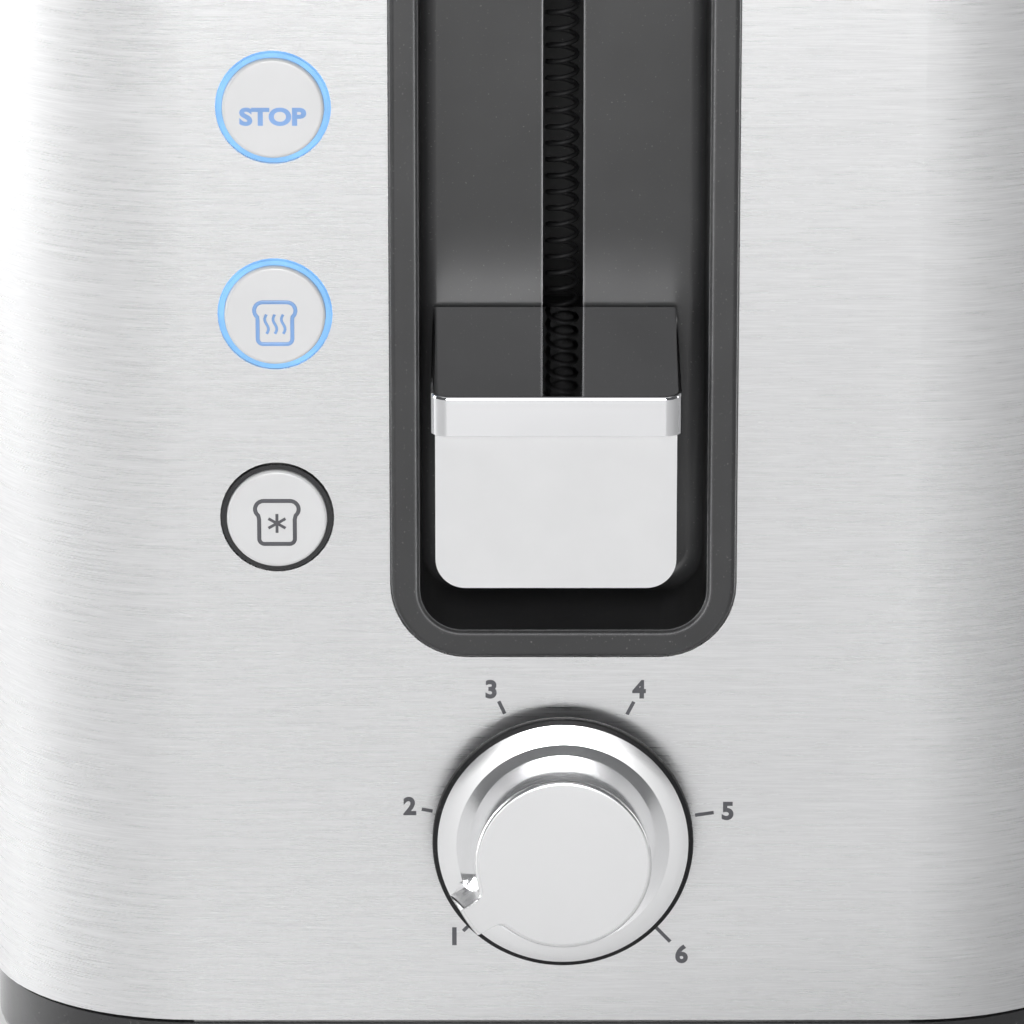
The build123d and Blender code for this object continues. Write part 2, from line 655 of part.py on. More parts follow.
with BuildPart() as dial_knob:
    with BuildSketch(Plane(origin=knob_origin, x_dir=(1, 0, 0), z_dir=(0, 0, 1))):
        with BuildLine():
            Polyline((0, -knob_gap), (flange_radius - 0.6, -knob_gap), (flange_radius, -knob_gap - 0.6),
                     (flange_radius, -knob_gap - 1.6), (flange_radius - 0.6, -knob_gap - 2.2),
                     (hub_radius + 2.4, -knob_gap - 2.9), (hub_radius + 0.2, -knob_gap - 1.9),
                     (cap_radius, -front_reach + 0.5), (cap_radius - 0.5, -front_reach),
                     (0, -front_reach), close=True)
        make_face()
    revolve(axis=Axis(knob_origin, (0, 1, 0)))
    # pointer, drawn out of the cap at full height and down to the flange
    ridge = Plane(origin=knob_origin, x_dir=pointer_dir, z_dir=(pointer_dir[2], 0, -pointer_dir[0]))
    out = -1 if ridge.y_dir.Y > 0 else 1
    with BuildSketch(ridge.offset(-2.2)):
        with BuildLine():
            Polyline((cap_radius - 2, out * (knob_gap + 1)), (pointer_reach + 1.6, out * (knob_gap + 1)),
                     (pointer_reach + 1.6, out * (knob_gap + 2.3)), (pointer_reach, out * front_reach),
                     (cap_radius - 2, out * front_reach), close=True)
        make_face()
    extrude(amount=4.4)
    # recess behind, leaving a boss for the shaft
    bar_y(control_x, knob_z, y_front - knob_gap - 7, y_front, hub_radius - 2.5, Mode.SUBTRACT)
    bar_y(control_x, knob_z, y_front - knob_gap - 8, y_front - knob_gap, 5.5)
    bar_y(control_x, knob_z, y_front - knob_gap - bore_depth, y_front, shaft_radius + run, Mode.SUBTRACT)

dial_knob.part.label = "dial_knob"
export_step(dial_knob.part, "parts/dial_knob.step")

board_y = y_front + 18.0            # front face of the control board
board_t = 1.6
pot_front = board_y - 12.0

with BuildPart() as dial_shaft:
    bar_y(control_x, knob_z, y_front - knob_gap - bore_depth, pot_front + 6, shaft_radius)

dial_shaft.part.label = "dial_shaft"
export_step(dial_shaft.part, "parts/dial_shaft.step")

with BuildPart() as dial_control:
    block(control_x - 10, control_x + 10, pot_front, board_y, knob_z - 10, knob_z + 10)
    fillet(dial_control.edges().filter_by(Axis.Y), radius=2)
    bar_y(control_x, knob_z, pot_front - 3, pot_front, 4.5)
    bar_y(control_x, knob_z, pot_front - 4, pot_front + 6, shaft_radius + run, Mode.SUBTRACT)

dial_control.part.label = "dial_control"
export_step(dial_control.part, "parts/dial_control.step")

# ======================= buttons ===========================================
y_skin = y_front + sheet            # back of the shell sheet
ring_back = y_skin + 2.0
frame_back = y_skin + 4.0
frame_half = 12.6
frame_z0 = button_zs["defrost"] - 14
frame_z1 = button_zs["stop"] + 14
stem_end = y_front + 11.0
pin_radius = 1.8            # end of the stem, inside the switch
switch_floor = 1.2
switch_front = board_y - 5.0
frame_screws = ((button_x - 9.5, button_zs["defrost"] + 15.9), (button_x + 9.5, button_zs["defrost"] + 15.9),
                (button_x - 9.5, button_zs["reheat"] + 15.9), (button_x + 9.5, button_zs["reheat"] + 15.9))

with BuildPart() as button_frame:
    block(button_x - frame_half, button_x + frame_half, y_skin, frame_back, frame_z0, frame_z1)
    for x, z in frame_screws:
        bar_y(x, z, frame_back, board_y, 2.8)
    for z in button_zs.values():
        bar_y(button_x, z, y_skin - 1, ring_back, ring_radius + 2.0, Mode.SUBTRACT)
        bar_y(button_x, z, y_skin, frame_back + 1, button_radius + 1.3, Mode.SUBTRACT)
    for x, z in frame_screws:
        bar_y(x, z, board_y - 6, board_y + 1, 1.3, Mode.SUBTRACT)

button_frame.part.label = "button_frame"
export_step(button_frame.part, "parts/button_frame.step")

for name, z in button_zs.items():
    with BuildPart() as ring:
        bar_y(button_x, z, y_front - 0.3, ring_back, ring_radius)
        bar_y(button_x, z, y_skin, ring_back, ring_radius + 1.7)
        bar_y(button_x, z, y_front - 2, ring_back + 1, button_radius + 0.08, Mode.SUBTRACT)
    ring.part.label = f"light_ring_{name}"
    export_step(ring.part, f"parts/light_ring_{name}.step")

    with BuildPart() as button:
        bar_y(button_x, z, y_front - button_proud, ring_back, button_radius)
        fillet(button.edges().group_by(Axis.Y)[0], radius=0.5)
        bar_y(button_x, z, ring_back, ring_back + 1.2, button_radius + 0.9)
        bar_y(button_x, z, ring_back + 1.2, stem_end, 3.0)
        bar_y(button_x, z, stem_end, board_y - switch_floor - loose - button_travel, pin_radius)
    button.part.label = f"{name}_button"
    export_step(button.part, f"parts/{name}_button.step")

    with BuildPart() as switch:
        block(button_x - 6, button_x + 6, switch_front, board_y, z - 6, z + 6)
        fillet(switch.edges().filter_by(Axis.Y), radius=0.8)
        bar_y(button_x, z, switch_front - 1, board_y - switch_floor, pin_radius + 0.1, Mode.SUBTRACT)
    switch.part.label = f"{name}_switch"
    export_step(switch.part, f"parts/{name}_switch.step")

board_x0 = button_x - 16.0
board_x1 = button_x + 15.0
board_foot_x1 = control_x + 22.0
with BuildPart() as control_board:
    block(board_x0, board_x1, board_y, board_y + board_t, 26, frame_z1)
    block(board_x0, board_foot_x1, board_y, board_y + board_t, 26, 66)
    for x, z in frame_screws:
        bar_y(x, z, board_y - 1, board_y + board_t + 1, 1.7, Mode.SUBTRACT)
    # components on the rear face
    block(-50, -34, board_y + board_t, board_y + board_t + 6, 60, 76)
    block(-52, -44, board_y + board_t, board_y + board_t + 4, 34, 50)
    bar_y(-28, 38, board_y + board_t, board_y + board_t + 7, 4)

control_board.part.label = "control_board"
export_step(control_board.part, "parts/control_board.step")

with BuildPart() as board_screws:
    for x, z in frame_screws:
        bar_y(x, z, board_y + board_t, board_y + board_t + 1.6, 2.6)
        bar_y(x, z, board_y - 5, board_y + board_t, 1.25)

board_screws.part.label = "board_screws"
export_step(board_screws.part, "parts/board_screws.step")

# ======================= crumb tray ========================================
tray_half = 52.0
tray_t = 0.8
tray_wall = 7.0
tray_y0 = oven_y0 + 3.5
tray_y1 = y_rear - 2.0

with BuildPart() as crumb_tray:
    block(-tray_half, tray_half, tray_y0, tray_y1, tray_z, tray_z + tray_wall)
    fillet(crumb_tray.edges().filter_by(Axis.Z), radius=3)
    block(-tray_half + tray_t, tray_half - tray_t, tray_y0 + tray_t, tray_y1 - tray_t,
          tray_z + tray_t, tray_z + tray_wall + 1, Mode.SUBTRACT)

crumb_tray.part.label = "crumb_tray"
export_step(crumb_tray.part, "parts/crumb_tray.step")

grip_half = tray_notch_half - 0.6
with BuildPart() as tray_grip:
    with BuildSketch(face_plane(tray_y1)):
        with Locations((0, (shell_bottom + 1 + tray_notch_top - 0.6) / 2)):
            RectangleRounded(2 * grip_half, tray_notch_top - shell_bottom - 1.6, 1.5)
    extrude(amount=-3.2)
    with BuildSketch(side_plane(-40)):
        with BuildLine():
            Polyline((tray_y1 + 3, 27.5), (y_rear + rear_reach - 1, 25.5), (y_rear + rear_reach, 24.5),
                     (y_rear + rear_reach, 22.5), (tray_y1 + 3, 24), close=True)
        make_face()
    extrude(amount=80)

tray_grip.part.label = "tray_grip"
export_step(tray_grip.part, "parts/tray_grip.step")

# ======================= mains entry =======================================
lead_radius = 3.6
with BuildPart() as cord_bushing:
    bar_y(gland_x, gland_z, y_rear, y_rear + 2.5, gland_radius + 2.2)
    fillet(cord_bushing.edges().group_by(Axis.Y)[-1], radius=0.8)
    bar_y(gland_x, gland_z, y_rear - 7, y_rear, gland_radius)
    bar_y(gland_x, gland_z, y_rear - sheet - 2.5, y_rear - sheet, gland_radius + 1.6)
    bar_y(gland_x, gland_z, y_rear - 8, y_rear + 3, lead_radius, Mode.SUBTRACT)

cord_bushing.part.label = "cord_bushing"
export_step(cord_bushing.part, "parts/cord_bushing.step")

term_x = gland_x + 8.0      # clear of the rack's rear end
term_y = oven_rear + plate
with BuildPart() as terminal_block:
    block(term_x - 15, term_x + 15, term_y, term_y + 13, 50, 66)
    fillet(terminal_block.edges().filter_by(Axis.Y), radius=1.5)
    for i in (-1, 0, 1):
        bar_z(term_x + 9 * i, term_y + 6.5, 60, 67, 2.6, Mode.SUBTRACT)
        bar_y(term_x + 9 * i, 55.5, term_y + 4, term_y + 14, 2.2, Mode.SUBTRACT)

terminal_block.part.label = "terminal_block"
export_step(terminal_block.part, "parts/terminal_block.step")

with BuildPart() as terminal_screws:
    for i in (-1, 0, 1):
        bar_z(term_x + 9 * i, term_y + 6.5, 60, 62.5, 2.3)
        block(term_x + 9 * i - 1.8, term_x + 9 * i + 1.8, term_y + 6.1, term_y + 6.9,
              61.9, 62.6, Mode.SUBTRACT)

terminal_screws.part.label = "terminal_screws"
export_step(terminal_screws.part, "parts/terminal_screws.step")
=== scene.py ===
import json
import math

import bmesh
import bpy
from mathutils import Matrix, Vector


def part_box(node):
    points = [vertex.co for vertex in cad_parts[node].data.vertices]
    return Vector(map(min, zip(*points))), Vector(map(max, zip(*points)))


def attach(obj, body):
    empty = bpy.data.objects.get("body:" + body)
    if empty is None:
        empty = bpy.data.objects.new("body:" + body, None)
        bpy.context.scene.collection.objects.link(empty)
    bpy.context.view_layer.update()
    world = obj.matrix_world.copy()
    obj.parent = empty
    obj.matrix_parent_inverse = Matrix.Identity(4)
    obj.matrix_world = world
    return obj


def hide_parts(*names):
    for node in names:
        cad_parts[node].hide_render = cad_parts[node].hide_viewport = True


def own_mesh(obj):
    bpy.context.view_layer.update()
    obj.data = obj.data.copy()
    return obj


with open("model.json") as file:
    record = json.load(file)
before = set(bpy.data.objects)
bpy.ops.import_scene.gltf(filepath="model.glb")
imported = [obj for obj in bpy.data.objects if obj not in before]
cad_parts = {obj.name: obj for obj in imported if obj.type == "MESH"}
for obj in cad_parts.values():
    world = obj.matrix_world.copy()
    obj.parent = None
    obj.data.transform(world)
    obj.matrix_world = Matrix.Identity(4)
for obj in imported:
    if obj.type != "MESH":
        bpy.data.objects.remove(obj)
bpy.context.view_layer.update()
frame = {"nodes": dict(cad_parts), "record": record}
nodes = frame["nodes"]
MM = 0.001

# ---------------------------------------------------------------- places read from the frame
FACE_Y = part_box("steel_shell")[0].y
knob_lo, knob_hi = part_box("dial_knob")
KNOB = Vector(((knob_lo.x + knob_hi.x) / 2, FACE_Y, (knob_lo.z + knob_hi.z) / 2))


# ---------------------------------------------------------------- node group helpers
class Graph:
    """Short calls for making and joining the nodes of one tree."""

    def __init__(self, tree):
        self.tree = tree

    def node(self, kind, **settings):
        made = self.tree.nodes.new(kind)
        for key, value in settings.items():
            if key in made.inputs:
                made.inputs[key].default_value = value
            else:
                setattr(made, key, value)
        return made

    def join(self, a, b):
        self.tree.links.new(a, b)

    def math(self, operation, a, b, clamp=False):
        made = self.tree.nodes.new("ShaderNodeMath")
        made.operation = operation
        made.use_clamp = clamp
        for socket, value in zip(made.inputs, (a, b)):
            if isinstance(value, (int, float)):
                socket.default_value = value
            else:
                self.join(value, socket)
        return made.outputs[0]

    def remap(self, value, low, high):
        """Stretches the span from low to high over 0 to 1."""
        made = self.tree.nodes.new("ShaderNodeMapRange")
        self.join(value, made.inputs["Value"])
        made.inputs["From Min"].default_value = low
        made.inputs["From Max"].default_value = high
        return made.outputs["Result"]

    def mix(self, factor, a, b):
        made = self.tree.nodes.new("ShaderNodeMix")
        made.data_type = "RGBA"
        self.join(factor, made.inputs["Factor"])
        for index, value in ((6, a), (7, b)):
            if isinstance(value, (tuple, list)):
                made.inputs[index].default_value = (*value[:3], 1)
            else:
                self.join(value, made.inputs[index])
        return made.outputs[2]


def effect(name, inputs, outputs):
    """A shader node group with named inputs and outputs: returns it, its graph and its two end nodes."""
    tree = bpy.data.node_groups.new(name, "ShaderNodeTree")
    for label, value in inputs.items():
        socket = tree.interface.new_socket(label, in_out="INPUT", socket_type="NodeSocketFloat")
        socket.default_value = value
    for label in outputs:
        tree.interface.new_socket(label, in_out="OUTPUT", socket_type="NodeSocketFloat")
    graph = Graph(tree)
    return tree, graph, tree.nodes.new("NodeGroupInput"), tree.nodes.new("NodeGroupOutput")


def scaled_point(graph, along, across, up):
    """Object position with each axis scaled by its own socket."""
    place = graph.node("ShaderNodeTexCoord").outputs["Object"]
    split = graph.node("ShaderNodeSeparateXYZ")
    graph.join(place, split.inputs[0])
    joined = graph.node("ShaderNodeCombineXYZ")
    for i, scale in enumerate((along, across, up)):
        graph.join(graph.math("MULTIPLY", split.outputs[i], scale), joined.inputs[i])
    return joined.outputs[0]


def make_brushing():
    """Long fine scratches left by a belt: long on two axes, fine on the third."""
    tree, g, inp, out = effect("Brushed Lines", {"X Scale": 140.0, "Y Scale": 140.0, "Z Scale": 5200.0},
                               ("Line Height", "Line Tone"))
    point = scaled_point(g, inp.outputs["X Scale"], inp.outputs["Y Scale"], inp.outputs["Z Scale"])
    fine = g.node("ShaderNodeTexNoise", Scale=1.0, Detail=3.0, Roughness=0.65)
    g.join(point, fine.inputs["Vector"])
    half = g.node("ShaderNodeVectorMath", operation="SCALE", Scale=0.37)
    g.join(point, half.inputs[0])
    broad = g.node("ShaderNodeTexNoise", Scale=1.0, Detail=2.0, Roughness=0.5)
    g.join(half.outputs[0], broad.inputs["Vector"])
    fine_part = g.math("MULTIPLY", fine.outputs["Fac"], 0.65)
    height = g.math("ADD", fine_part, g.math("MULTIPLY", broad.outputs["Fac"], 0.35))
    g.join(height, out.inputs["Line Height"])
    g.join(g.remap(height, 0.36, 0.64), out.inputs["Line Tone"])
    return tree


def make_grain():
    """Fine even texture of a moulded, cast or rolled surface."""
    tree, g, inp, out = effect("Fine Grain", {"Scale": 900.0}, ("Grain Height", "Mottle"))
    place = g.node("ShaderNodeTexCoord").outputs["Object"]
    noise = g.node("ShaderNodeTexNoise", Detail=4.0, Roughness=0.6)
    g.join(place, noise.inputs["Vector"])
    g.join(inp.outputs["Scale"], noise.inputs["Scale"])
    slow = g.node("ShaderNodeTexNoise", Detail=2.0, Roughness=0.5)
    g.join(place, slow.inputs["Vector"])
    g.join(g.math("MULTIPLY", inp.outputs["Scale"], 0.06), slow.inputs["Scale"])
    g.join(noise.outputs["Fac"], out.inputs["Grain Height"])
    g.join(g.remap(slow.outputs["Fac"], 0.3, 0.7), out.inputs["Mottle"])
    return tree


def make_edge_wear_and_highlight():
    """Mask that is bright along edges, broken up by noise: it paints worn edges and also painted edge
    highlights.
    """
    tree, g, inp, out = effect("Edge Wear And Highlight", {"Width": 0.0006, "Break Up": 0.5}, ("Wear",))
    rounded = g.node("ShaderNodeBevel", samples=4)
    g.join(inp.outputs["Width"], rounded.inputs["Radius"])
    flat = g.node("ShaderNodeNewGeometry")
    turn = g.node("ShaderNodeVectorMath", operation="DOT_PRODUCT")
    g.join(rounded.outputs[0], turn.inputs[0])
    g.join(flat.outputs["Normal"], turn.inputs[1])
    edge = g.remap(turn.outputs["Value"], 0.995, 0.82)
    noise = g.node("ShaderNodeTexNoise", Scale=420.0, Detail=3.0)
    g.join(g.node("ShaderNodeTexCoord").outputs["Object"], noise.inputs["Vector"])
    gaps = g.math("MULTIPLY", noise.outputs["Fac"], inp.outputs["Break Up"])
    g.join(g.math("SUBTRACT", edge, gaps, clamp=True), out.inputs["Wear"])
    return tree


def make_handling():
    """Soft smudges and light dust, for roughness and tone."""
    tree, g, inp, out = effect("Handling Marks", {"Scale": 28.0}, ("Smudge", "Dust"))
    place = g.node("ShaderNodeTexCoord").outputs["Object"]
    noise = g.node("ShaderNodeTexNoise", Detail=5.0, Roughness=0.6, Distortion=0.4)
    g.join(place, noise.inputs["Vector"])
    g.join(inp.outputs["Scale"], noise.inputs["Scale"])
    g.join(g.remap(noise.outputs["Fac"], 0.42, 0.68), out.inputs["Smudge"])
    specks = g.node("ShaderNodeTexNoise", Scale=2600.0, Detail=1.0)
    g.join(place, specks.inputs["Vector"])
    g.join(g.remap(specks.outputs["Fac"], 0.70, 0.78), out.inputs["Dust"])
    return tree


BRUSHING = make_brushing()
GRAIN = make_grain()
EDGE_WEAR_AND_HIGHLIGHT = make_edge_wear_and_highlight()
MARKS = make_handling()


# ---------------------------------------------------------------- finishes
GRAIN_DEPTH = 0.00002
BRUSH_STREAK = 0.10
BRUSH_SMUDGE = 0.05
PLATING_SMUDGE = 0.04


def start_finish(name):
    """A new material with its graph and its shader."""
    material = bpy.data.materials.new(name)
    material.use_nodes = True
    graph = Graph(material.node_tree)
    shader = next(n for n in material.node_tree.nodes if n.type == "BSDF_PRINCIPLED")
    return material, graph, shader


def use_effect(graph, tree, **values):
    """Puts an effect in a material with its own values; returns its outputs."""
    made = graph.node("ShaderNodeGroup", node_tree=tree)
    for label, value in values.items():
        made.inputs[label.replace("_", " ")].default_value = value
    return made.outputs


def general_finish(name, colour, rough, metal=0.0, grain=900.0, bump=0.15, mottle=0.06, edge_wear_and_highlight=0.25,
                   wear_and_highlight_colour=None, wear_and_highlight_width=0.0005, wear_and_highlight_gaps=0.55, smudge=0.08, coat=0.0, specular=0.5):
    """Moulded, painted or rolled surface with grain, edges lightened as wear and as painted highlight, and
    handling marks.
    """
    material, g, shader = start_finish(name)
    fine = use_effect(g, GRAIN, Scale=grain)
    edge = use_effect(g, EDGE_WEAR_AND_HIGHLIGHT, Width=wear_and_highlight_width, Break_Up=wear_and_highlight_gaps)
    hand = use_effect(g, MARKS, Scale=26.0)
    dark = tuple(max(0.0, c * (1 - mottle)) for c in colour)
    light = tuple(min(1.0, c * (1 + mottle) + 0.004) for c in colour)
    edge_wear_and_highlight_tone = wear_and_highlight_colour or tuple(min(1.0, c * 1.35 + 0.05) for c in colour)
    tone = g.mix(fine["Mottle"], dark, light)
    tone = g.mix(g.math("MULTIPLY", hand["Dust"], 0.12), tone, (0.7, 0.68, 0.65))
    # Edges mixed toward a lighter tone: wear, and painted highlight on the bay and silver moulding finishes.
    g.join(g.mix(g.math("MULTIPLY", edge["Wear"], edge_wear_and_highlight), tone, edge_wear_and_highlight_tone), shader.inputs["Base Color"])
    roughness = g.math("ADD", rough, g.math("MULTIPLY", hand["Smudge"], smudge))
    roughness = g.math("ADD", roughness, g.math("MULTIPLY", fine["Grain Height"], 0.06), clamp=True)
    g.join(roughness, shader.inputs["Roughness"])
    shader.inputs["Metallic"].default_value = metal
    shader.inputs["Coat Weight"].default_value = coat
    shader.inputs["Coat Roughness"].default_value = 0.04
    shader.inputs["Specular IOR Level"].default_value = specular
    bumped = g.node("ShaderNodeBump", Strength=bump, Distance=GRAIN_DEPTH)
    g.join(fine["Grain Height"], bumped.inputs["Height"])
    g.join(bumped.outputs[0], shader.inputs["Normal"])
    return material


def brushed_finish(name, colour, rough, scales, anisotropic):
    """Metal with belt brushing; the highlights stretch across the lines."""
    material, g, shader = start_finish(name)
    lines = use_effect(g, BRUSHING, X_Scale=scales[0], Y_Scale=scales[1], Z_Scale=scales[2])
    edge = use_effect(g, EDGE_WEAR_AND_HIGHLIGHT, Width=0.0004, Break_Up=0.35)
    hand = use_effect(g, MARKS, Scale=16.0)
    dark = tuple(c * (1 - BRUSH_STREAK) for c in colour)
    light = tuple(min(1.0, c * (1 + BRUSH_STREAK * 0.55)) for c in colour)
    tone = g.mix(lines["Line Tone"], dark, light)
    # Edges mixed toward near white: partly wear, partly painted highlight along the edges.
    tone = g.mix(g.math("MULTIPLY", edge["Wear"], 0.5), tone, (0.95, 0.95, 0.95))
    g.join(tone, shader.inputs["Base Color"])
    roughness = g.math("ADD", rough, g.math("MULTIPLY", lines["Line Tone"], 0.10))
    smudges = g.math("MULTIPLY", hand["Smudge"], BRUSH_SMUDGE)
    g.join(g.math("ADD", roughness, smudges, clamp=True), shader.inputs["Roughness"])
    shader.inputs["Metallic"].default_value = 1.0
    shader.inputs["Anisotropic"].default_value = anisotropic
    if anisotropic:
        tangent = g.node("ShaderNodeTangent", direction_type="RADIAL", axis="Z")
        g.join(tangent.outputs[0], shader.inputs["Tangent"])
    bumped = g.node("ShaderNodeBump", Strength=0.35, Distance=GRAIN_DEPTH / 2)
    g.join(lines["Line Height"], bumped.inputs["Height"])
    g.join(bumped.outputs[0], shader.inputs["Normal"])
    return material


def plated_finish(name, colour, rough):
    """Bright plating: smooth, with faint handling marks and a slow waviness."""
    material, g, shader = start_finish(name)
    fine = use_effect(g, GRAIN, Scale=260.0)
    hand = use_effect(g, MARKS, Scale=40.0)
    tone = g.mix(fine["Mottle"], tuple(c * 0.97 for c in colour), colour)
    g.join(tone, shader.inputs["Base Color"])
    smudges = g.math("MULTIPLY", hand["Smudge"], PLATING_SMUDGE)
    g.join(g.math("ADD", rough, smudges, clamp=True), shader.inputs["Roughness"])
    shader.inputs["Metallic"].default_value = 1.0
    bumped = g.node("ShaderNodeBump", Strength=0.04, Distance=GRAIN_DEPTH)
    g.join(fine["Mottle"], bumped.inputs["Height"])
    g.join(bumped.outputs[0], shader.inputs["Normal"])
    return material


def lamp_finish(name, colour, glow, strength):
    """Lit ring: milky plastic with light coming through it, brighter in places."""
    material, g, shader = start_finish(name)
    slow = use_effect(g, GRAIN, Scale=2400.0)
    tone = g.mix(slow["Mottle"], tuple(c * 0.62 for c in glow), glow)
    g.join(g.mix(slow["Mottle"], tuple(c * 0.9 for c in colour), colour), shader.inputs["Base Color"])
    g.join(tone, shader.inputs["Emission Color"])
    shader.inputs["Emission Strength"].default_value = strength
    g.join(g.math("ADD", 0.25, g.math("MULTIPLY", slow["Grain Height"], 0.1)), shader.inputs["Roughness"])
    return material


def zinc_finish(name, colour, rough):
    """Zinc-plated sheet with a faint spangle."""
    material, g, shader = start_finish(name)
    cells = g.node("ShaderNodeTexVoronoi", Scale=170.0)
    g.join(g.node("ShaderNodeTexCoord").outputs["Object"], cells.inputs["Vector"])
    fine = use_effect(g, GRAIN, Scale=1100.0)
    edge = use_effect(g, EDGE_WEAR_AND_HIGHLIGHT, Width=0.0004, Break_Up=0.4)
    flake = g.node("ShaderNodeSeparateColor")
    g.join(cells.outputs["Color"], flake.inputs[0])
    tone = g.mix(flake.outputs[0], tuple(c * 0.86 for c in colour), tuple(min(1, c * 1.1) for c in colour))
    # Edges mixed toward light grey: partly wear, partly painted highlight along the edges.
    g.join(g.mix(g.math("MULTIPLY", edge["Wear"], 0.5), tone, (0.9, 0.9, 0.9)), shader.inputs["Base Color"])
    g.join(g.math("ADD", rough, g.math("MULTIPLY", flake.outputs[1], 0.12)), shader.inputs["Roughness"])
    shader.inputs["Metallic"].default_value = 1.0
    bumped = g.node("ShaderNodeBump", Strength=0.1, Distance=GRAIN_DEPTH)
    g.join(fine["Grain Height"], bumped.inputs["Height"])
    g.join(bumped.outputs[0], shader.inputs["Normal"])
    return material


def mica_finish(name):
    """Pressed mica board: pale, with flakes that catch the light."""
    material, g, shader = start_finish(name)
    cells = g.node("ShaderNodeTexVoronoi", Scale=420.0)
    g.join(g.node("ShaderNodeTexCoord").outputs["Object"], cells.inputs["Vector"])
    flake = g.node("ShaderNodeSeparateColor")
    g.join(cells.outputs["Color"], flake.inputs[0])
    slow = use_effect(g, GRAIN, Scale=500.0)
    tone = g.mix(flake.outputs[0], (0.42, 0.35, 0.25), (0.72, 0.65, 0.52))
    stain = g.math("MULTIPLY", slow["Mottle"], 0.4)
    g.join(g.mix(stain, tone, (0.5, 0.4, 0.28)), shader.inputs["Base Color"])
    g.join(g.math("ADD", 0.3, g.math("MULTIPLY", flake.outputs[1], 0.35)), shader.inputs["Roughness"])
    return material


def winding_finish(name):
    """Enamelled copper wire, wound in close turns."""
    material, g, shader = start_finish(name)
    turns = g.node("ShaderNodeTexWave", Scale=260.0, Distortion=0.6, Detail=1.0)
    turns.bands_direction = "Z"
    g.join(g.node("ShaderNodeTexCoord").outputs["Object"], turns.inputs["Vector"])
    g.join(g.mix(turns.outputs["Fac"], (0.24, 0.08, 0.03), (0.66, 0.28, 0.11)), shader.inputs["Base Color"])
    g.join(g.math("ADD", 0.22, g.math("MULTIPLY", turns.outputs["Fac"], 0.1)), shader.inputs["Roughness"])
    shader.inputs["Metallic"].default_value = 0.8
    bumped = g.node("ShaderNodeBump", Strength=0.7, Distance=0.0001)
    g.join(turns.outputs["Fac"], bumped.inputs["Height"])
    g.join(bumped.outputs[0], shader.inputs["Normal"])
    return material


STEEL = (0.80, 0.80, 0.805)
finishes = {
    "shell": brushed_finish("Brushed Steel", STEEL, 0.23, (150.0, 150.0, 5600.0), 0.85),
    "black_gloss": general_finish("Black Gloss Moulding", (0.012, 0.012, 0.013), 0.10, grain=1500.0,
                                  bump=0.03, edge_wear_and_highlight=0.12, smudge=0.1, coat=0.5),
    # The bay's bright edge lines are painted highlight: a strong, light edge tone along the inner edges.
    "bay_grey": general_finish("Bay Moulding", (0.030, 0.030, 0.031), 0.30, grain=1400.0, bump=0.03,
                               edge_wear_and_highlight=0.9, wear_and_highlight_colour=(0.55, 0.55, 0.56), wear_and_highlight_width=0.0006,
                               wear_and_highlight_gaps=0.15, smudge=0.05, specular=0.4),
    "chrome": plated_finish("Lever Chrome", (0.72, 0.72, 0.73), 0.03),
    "satin_metal": plated_finish("Dial Satin Plating", (0.86, 0.86, 0.865), 0.22),
    # The near-white edge tone of this silver moulding is painted highlight along its rounded edges.
    "satin_plastic": general_finish("Silver Moulding", (0.66, 0.66, 0.665), 0.35, metal=0.1,
                                    grain=2200.0, bump=0.05, mottle=0.015, edge_wear_and_highlight=0.2,
                                    wear_and_highlight_colour=(0.95, 0.95, 0.95), smudge=0.04),
    "lamp_blue": lamp_finish("Lit Ring", (0.14, 0.32, 0.56), (0.26, 0.58, 1.0), 0.62),
    "lamp_off": general_finish("Unlit Ring", (0.01, 0.01, 0.012), 0.15, grain=1500.0, bump=0.03),
    "rubber": general_finish("Foot Rubber", (0.022, 0.022, 0.022), 0.75, grain=1600.0, bump=0.5,
                             mottle=0.25, edge_wear_and_highlight=0.3),
    "black_plastic": general_finish("Black Moulding", (0.03, 0.03, 0.032), 0.5, grain=1800.0, bump=0.35,
                                    mottle=0.15),
    "sheet_steel": zinc_finish("Zinc Sheet", (0.62, 0.63, 0.65), 0.30),
    "wire_steel": plated_finish("Bright Wire", (0.72, 0.72, 0.73), 0.18),
    "mica": mica_finish("Mica Board"),
    "ribbon": general_finish("Heater Ribbon", (0.16, 0.13, 0.12), 0.5, metal=0.9, grain=1400.0, bump=0.3,
                             mottle=0.3),
    "board_green": general_finish("Board Lacquer", (0.02, 0.13, 0.05), 0.25, grain=700.0, bump=0.2,
                                  mottle=0.2, coat=0.3),
    "iron": general_finish("Ground Iron", (0.30, 0.30, 0.31), 0.42, metal=1.0, grain=1300.0, bump=0.3,
                           mottle=0.15),
    "copper": winding_finish("Copper Winding"),
    "white_plastic": general_finish("White Moulding", (0.72, 0.72, 0.68), 0.4, grain=1500.0, bump=0.2,
                                    mottle=0.04),
    "brass": general_finish("Plain Brass", (0.62, 0.45, 0.18), 0.3, metal=1.0, grain=1100.0, bump=0.2,
                            mottle=0.1),
}
top_finish = brushed_finish("Brushed Top", STEEL, 0.24, (5600.0, 150.0, 5600.0), 0.0)
ink = general_finish("Grey Ink", (0.085, 0.085, 0.095), 0.6, grain=3000.0, bump=0.05, mottle=0.12, edge_wear_and_highlight=0.0)
blue_ink = lamp_finish("Lit Blue Mark", (0.16, 0.28, 0.50), (0.22, 0.42, 0.85), 0.40)
dial_rim_finish = plated_finish("Dial Rim Plating", (0.95, 0.95, 0.955), 0.24)
dial_side_finish = plated_finish("Dial Side Chrome", (0.95, 0.95, 0.955), 0.12)
dial_cap_finish = plated_finish("Dial Cap Satin", (0.60, 0.60, 0.605), 0.38)
